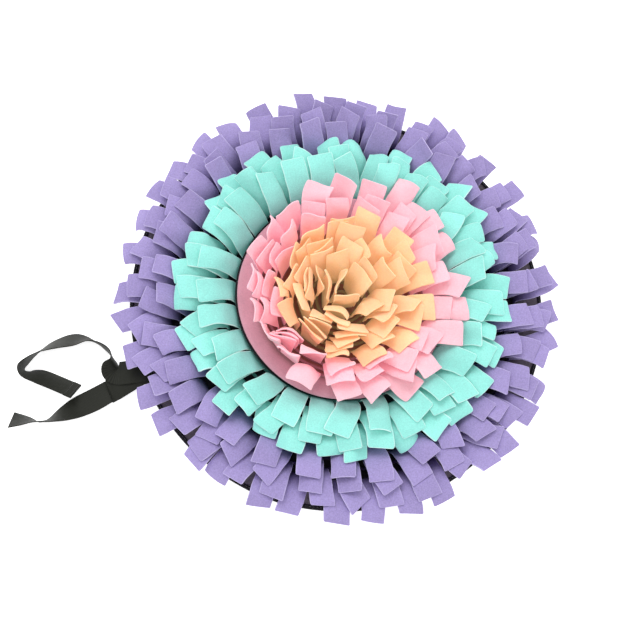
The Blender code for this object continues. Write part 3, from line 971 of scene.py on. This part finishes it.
bindingLook = {
    "steps": 300, "lap": 4.0, "under": 6.5, "thick": 1.0, "round": 1.5, "roundSteps": 5,
    "pucker": 0.22, "puckerAside": 0.35, "puckers": ((61, 0.5, 0.2), (43, 0.4, 1.9), (23, 0.4, 0.8)),
    "puckerDown": 0.4, "puckersOver": 3.6,
    "stitchAt": 1.5, "stitchPitch": 3.6, "stitchLong": 2.5, "stitchThick": 0.5,
}
stitchProud = 0.05
stitchDip = 0.6
stitchSides = 6
stitchSections = ((-0.85, 0.6, -0.35), (-0.45, 1.0, 0.1), (0.45, 1.0, 0.1), (0.85, 0.6, -0.35))


def arc(centre, radius, first, last, steps):
    turns = np.radians(np.linspace(first, last, steps))
    return [(centre[0] + radius * math.cos(turn), centre[1] + radius * math.sin(turn)) for turn in turns]


def stitches(name, places, slot, long, thick):
    # places: rows of (middle, along, up); every stitch is a short bar that dips at its ends
    turns = np.radians(np.arange(stitchSides) * 360 / stitchSides)
    points = []
    faces = []
    for middle, ahead, up in places:
        start = len(points)
        side = np.cross(up, ahead)
        points.append(middle - ahead * long / 2 - up * thick * stitchDip)
        for along, girth, rise in stitchSections:
            spine = middle + ahead * along * long / 2 + up * thick * rise
            for turn in turns:
                points.append(spine + girth * thick / 2 * (side * math.cos(turn) + up * math.sin(turn)))
        points.append(middle + ahead * long / 2 - up * thick * stitchDip)
        last = len(points) - 1
        for corner in range(stitchSides):
            follow = (corner + 1) % stitchSides
            faces.append((start, start + 1 + follow, start + 1 + corner))
            for low in range(start + 1, last - stitchSides, stitchSides):
                high = low + stitchSides
                faces.append((low + corner, low + follow, high + follow, high + corner))
            faces.append((last, last - stitchSides + corner, last - stitchSides + follow))
    return addPiece(name, points, faces, "thread")


def rimBinding():
    look = bindingLook
    low = look["thick"]
    high = baseTop + layGap
    top = high + look["thick"]
    bend = look["round"]
    lap = matRadius - look["lap"]
    under = matRadius - look["under"]
    inner = matRadius - look["thick"]
    # the lapped edge is rounded, then the tape goes round the rim and back under the base cloth
    section = [(lap, high), (lap - 0.15, high + 0.5), (lap + 0.3, top - 0.1), (lap + 1.1, top)]
    section += arc((matRadius - bend, top - bend), bend, 90, 0, look["roundSteps"])
    section += arc((matRadius - bend, bend), bend, 0, -90, look["roundSteps"])
    section += [(under, 0.0), (under, low), (inner, low), (inner, high)]

    def pucker(radius, height, turns):
        share = np.clip((matRadius - radius) / look["lap"], 0, 1) * (height > look["puckersOver"])
        fold = waves(turns, look["puckers"])
        lifted = height + share * look["pucker"] * (fold - look["puckerDown"])
        return matEdge(radius, turns) + share * fold * look["puckerAside"], lifted

    points, faces = turnedGrid(section[::-1], look["steps"], pucker)
    piece = addPiece("rim_binding_tape", points, faces, "blackBinding")
    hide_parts("rim_binding")
    radius = matRadius - look["lap"] + look["stitchAt"]
    count = round(2 * math.pi * radius / look["stitchPitch"])
    places = []
    for turn in np.linspace(0, 2 * math.pi, count, endpoint=False):
        out = np.array([math.cos(turn), math.sin(turn), 0.0])
        middle = out * matEdge(radius, turn)
        middle[2] = top + stitchProud
        places.append((middle, np.array([-out[1], out[0], 0.0]), np.array([0.0, 0.0, 1.0])))
    seam = stitches("rim_stitches", places, "black_binding", look["stitchLong"], look["stitchThick"])


rimBinding()
print("base and binding made")


upperLook = {
    "steps": 180, "rise": 12, "rimWave": ((4, 0.5, 1.0), (7, 0.4, 0.2), (13, 0.3, 2.2)), "rimLift": 0.6,
    "paintedShadeFrom": 92.0, "paintedShadeOver": 9.0,     # painted shade: the cloth is darker among the tabs, where their shade falls
    "edging": 1.7, "edgingHigh": 2.6, "edgingTurn": 36,
    "edgingShows": 175.0,                  # the bearing of the side where the edging isn't rolled under
    "rollFrom": 0.1, "rollOver": 0.35,
    "spreads": 1.9, "sinks": 0.4, "spreadOver": 9,
    "tucksIn": 1.2, "tucksDown": 3.0,
    "flat": (0.02, 30.0),                  # radii of the rings of points on the flat middle
    "rimIn": 0.6, "rimRound": ((0.1, 0.35), (0, 1.0), (0.15, 1.7)),     # in from the rim, and down from it
}


def rimLift(radius, turns):
    share = np.clip((radius - dishFloor) / (dishRadius - dishFloor), 0, 1)
    return share ** 2 * waves(turns, upperLook["rimWave"]) * upperLook["rimLift"]


def upperDisc():
    look = upperLook
    rising = np.linspace(dishFloor, dishRadius - look["rimIn"], look["rise"])
    top = [(radius, dishHeight(radius)) for radius in np.concatenate([look["flat"], rising])]
    rim = [(dishRadius - inwards, dishRim - down) for inwards, down in look["rimRound"]]
    under = [(radius, height - dishThick) for radius, height in reversed(top)]

    def rolled(turns):
        # the edging shows on one side, and has rolled under the disc on the other
        away = (1 - np.cos(turns - math.radians(look["edgingShows"]))) / 2
        return ease((away - look["rollFrom"]) / look["rollOver"])

    def soften(radius, height, turns):
        near = np.clip((radius - dishRadius + look["spreadOver"]) / look["spreadOver"], 0, 1)
        over = rolled(turns) * near ** 2
        return radius + over * look["spreads"], height + rimLift(radius, turns) - over * look["sinks"]

    points, faces = turnedGrid(top + rim + under, look["steps"], soften)
    around = np.linalg.norm(points[:, :2], axis=1)
    # painted shade among the tabs
    deep = np.clip((look["paintedShadeFrom"] - around) / look["paintedShadeOver"], 0, 1)
    piece = addPiece("upper_disc_cloth", points, faces, "mauveCloth", {"deep": deep})
    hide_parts("upper_disc")
    out = dishRadius + layGap + look["edging"] / 2
    high = dishRim - dishThick / 2
    section = [(out + look["edging"] / 2 * math.cos(turn), high + look["edgingHigh"] / 2 * math.sin(turn))
               for turn in np.radians(np.arange(0, 360, look["edgingTurn"]))]

    def tuck(radius, height, turns):
        under = rolled(turns)
        sunk = under * (look["tucksDown"] + look["sinks"])
        return radius - under * look["tucksIn"], height + rimLift(dishRadius, turns) - sunk

    points, faces = turnedGrid(section[::-1], look["steps"], tuck)
    edging = addPiece("upper_disc_edging", points, faces, "blackBinding")
    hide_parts("upper_disc_edge")


upperDisc()
print("upper disc made")

# Where the ties lie: bank is the tape's tilt about its run in degrees, lift the height of its lower edge,
# and wide the share of its full width that it has where it is gathered in a fold.
Fold = namedtuple("Fold", "x y bank lift wide", defaults=(1.0,))
tieLook = {
    "wide": 23.0, "thick": 0.9, "steps": 9, "columns": (-1.0, -0.96, -0.75, -0.4, 0.0, 0.4, 0.75, 0.96, 1.0),
    "edgeRound": 0.12, "bow": 0.7, "bowRun": 17.0, "bowEnds": 20,
    "hemLong": 9.0, "hemThick": 1.7, "hemSeams": (1.8, 7.2),
    "seamShort": 2, "stitchPitch": 2.2, "stitchLong": 1.5, "stitchThick": 0.4,
    "upper": [
        (-187, -79, 0, 5.2), (-198, -81, 0, 6.6), (-209, -83, 0, 6.6), (-221, -84, 2, 4.8),
        (-225.5, -80, 32, 2.4), (-225, -71.5, 80, 0.9, 0.78), (-231.5, -61, 96, 0.3, 0.65),
        (-246, -53, 76, 0.2, 0.85), (-263, -52, 46, 0.2), (-282, -58, 54, 0.2), (-297, -67, 74, 0.2),
        (-306, -75, 86, 0.2), (-311, -82, 94, 0.2), (-306, -88, 118, 0.2), (-294, -90, 136, 0.2),
        (-280, -95, 138, 0.2), (-258, -104, 138, 0.2),
    ],
    "lower": [
        (-187, -80, 0, 3.7), (-198, -84, 0, 5.0), (-209, -90.5, -3, 3.4), (-221, -98.5, -8, 1.6),
        (-226, -101.5, -12, 0.9), (-229, -103, 8, 0.9), (-241, -110, 4, 0.2), (-255, -118, 14, 0.2),
        (-268, -126, 40, 0.2), (-281, -133, 70, 0.2), (-291, -135, 80, 0.2), (-301, -134, 62, 0.2),
        (-316, -133, 40, 0.2),
    ],
}


def smooth(a, b, c, d, t):
    return 0.5 * (2 * b + (c - a) * t + (2 * a - 5 * b + 4 * c - d) * t * t
                  + (3 * b - a - 3 * c + d) * t * t * t)


def tapeSections(rows):
    folds = [Fold(*row) for row in rows]
    ends = [folds[0]] + folds + [folds[-1]]
    sections = []
    for index in range(1, len(ends) - 2):
        before, start, finish, after = ends[index - 1:index + 3]
        for part in range(tieLook["steps"]):
            t = part / tieLook["steps"]
            sections.append(Fold(*(smooth(*values, t) for values in zip(before, start, finish, after))))
    sections.append(folds[-1])
    return sections


def tie(name, node, folds, hemmed):
    look = tieLook
    sections = tapeSections(folds)
    frames = []
    run = 0.0
    for index, fold in enumerate(sections):
        before = sections[max(index - 1, 0)]
        after = sections[min(index + 1, len(sections) - 1)]
        ahead = np.array([after.x - before.x, after.y - before.y, 0.0])
        ahead /= np.linalg.norm(ahead)
        bank = math.radians(fold.bank)
        across = np.array([-ahead[1] * math.cos(bank), ahead[0] * math.cos(bank), math.sin(bank)])
        depth = np.cross(ahead, across)
        wide = look["wide"] * fold.wide
        reach = 0.5 * (abs(across[2]) * wide + abs(depth[2]) * look["thick"])
        centre = np.array([fold.x, fold.y, fold.lift + reach])
        if index:
            run += float(np.linalg.norm(centre - frames[-1][0]))
        frames.append((centre, ahead, across, depth, run, wide / 2))
    length = run
    side = np.array(look["columns"])
    rows = []
    runs = []
    for centre, ahead, across, depth, run, half in frames:
        flank = min(1.0, (length - run) / look["bowEnds"], run / look["bowEnds"])
        bow = look["bow"] * math.sin(run / look["bowRun"]) * flank
        thick = look["hemThick"] if hemmed and run > length - look["hemLong"] else look["thick"]
        out = centre + across * half * side[:, None] + depth * (bow * (1 - side ** 2))[:, None]
        upper = out + depth * thick / 2
        lower = out - depth * thick / 2
        first = centre - across * (half + look["edgeRound"])
        last = centre + across * (half + look["edgeRound"])
        rows.append(np.concatenate([upper, [last], lower[::-1], [first]]))
        runs.append(np.full(len(rows[-1]), run * mm))
    wide = len(rows[0])
    faces = []
    end = (len(rows) - 1) * wide
    for low in range(0, end, wide):
        for point in range(wide):
            follow = (point + 1) % wide
            faces.append((low + point, low + follow, low + wide + follow, low + wide + point))
    faces.append(tuple(range(wide))[::-1])
    faces.append(tuple(range(end, end + wide)))
    attributes = {"runs": np.concatenate(runs)}
    piece = addPiece(name, np.concatenate(rows), faces, "blackRibbon", attributes)
    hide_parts(node)
    if hemmed:
        places = []
        long = look["wide"] - look["seamShort"]
        count = int(long / look["stitchPitch"])
        for seam in look["hemSeams"]:
            nearest = min(frames, key=lambda row: abs(row[4] - (length - seam)))
            centre, ahead, across, depth, run, half = nearest
            centre = centre + ahead * (length - seam - run)
            for place in range(count):
                middle = centre + across * ((place + 0.5) / count - 0.5) * long
                for face in (1, -1):
                    lifted = middle + depth * face * (look["hemThick"] / 2 + stitchProud)
                    places.append((lifted, across, depth * face))
        size = (look["stitchLong"], look["stitchThick"])
        stitches(name + "_stitches", places, "black_ribbon", *size)
    print(name, "is", round(length), "mm long")


tie("upper_tie", "tie_upper", tieLook["upper"], True)
tie("lower_tie", "tie_lower", tieLook["lower"], False)


stageLook = {
    "floorWide": 6.0, "floorColour": (0.95, 0.95, 0.95, 1), "floorLit": 0.7, "floorLow": 0.0005, "sky": 1.0,
    "sun": 1.0, "sunFrom": 115.0, "sunHigh": 58.0, "sunSoft": 0.5,
}


def floor():
    half = stageLook["floorWide"] / 2
    mesh = bpy.data.meshes.new("floor")
    corners = [(-half, -half, 0), (half, -half, 0), (half, half, 0), (-half, half, 0)]
    mesh.from_pydata(corners, [], [(0, 1, 2, 3)])
    material, tree, shader = newMaterial("palePaper")
    feed(tree, shader, {
        "Base Color": stageLook["floorColour"],
        "Emission Color": stageLook["floorColour"],
        "Emission Strength": stageLook["floorLit"],
    })
    mesh.materials.append(material)
    sheet = bpy.data.objects.new("floor", mesh)
    sheet.location.z = -stageLook["floorLow"]
    bpy.context.scene.collection.objects.link(sheet)


def light():
    world = bpy.data.worlds.new("studio")
    bpy.context.scene.world = world
    world.use_nodes = True
    sky = world.node_tree.nodes["Background"]
    feed(world.node_tree, sky, {"Color": (1, 1, 1, 1), "Strength": stageLook["sky"]})
    sun = bpy.data.lights.new("window", "SUN")
    sun.energy = stageLook["sun"]
    sun.angle = stageLook["sunSoft"]
    lamp = bpy.data.objects.new("window", sun)
    turn = math.radians(stageLook["sunFrom"])
    high = math.radians(stageLook["sunHigh"])
    towards = Vector((math.cos(turn) * math.cos(high), math.sin(turn) * math.cos(high), math.sin(high)))
    lamp.rotation_euler = towards.to_track_quat("Z", "Y").to_euler()
    bpy.context.scene.collection.objects.link(lamp)


# the frame is square; focal, middleX and middleY are in its pixels, and away is in metres
cameraLook = {
    "away": 0.977, "tilt": 19.35, "from": 251.4,
    "frame": 640, "focal": 939.3, "middleX": 339.96, "middleY": 301.56, "sensor": 36,
}


def camera():
    look = cameraLook
    tilt = math.radians(look["tilt"])
    turn = math.radians(look["from"])
    back = Vector((math.sin(tilt) * math.cos(turn), math.sin(tilt) * math.sin(turn), math.cos(tilt)))
    side = Vector((0, 1, 0)).cross(back).normalized()
    place = Matrix((side, back.cross(side), back)).transposed().to_4x4()
    place.translation = back * look["away"]
    lens = bpy.data.cameras.new("camera")
    lens.sensor_width = look["sensor"]
    lens.lens = look["focal"] * look["sensor"] / look["frame"]
    lens.shift_x = (look["frame"] / 2 - look["middleX"]) / look["frame"]
    lens.shift_y = (look["middleY"] - look["frame"] / 2) / look["frame"]
    eye = bpy.data.objects.new("camera", lens)
    eye.matrix_world = place
    bpy.context.scene.collection.objects.link(eye)
    bpy.context.scene.camera = eye


floor()
light()
camera()
bpy.context.scene.view_settings.view_transform = "Standard"
print("floor, light and camera set")
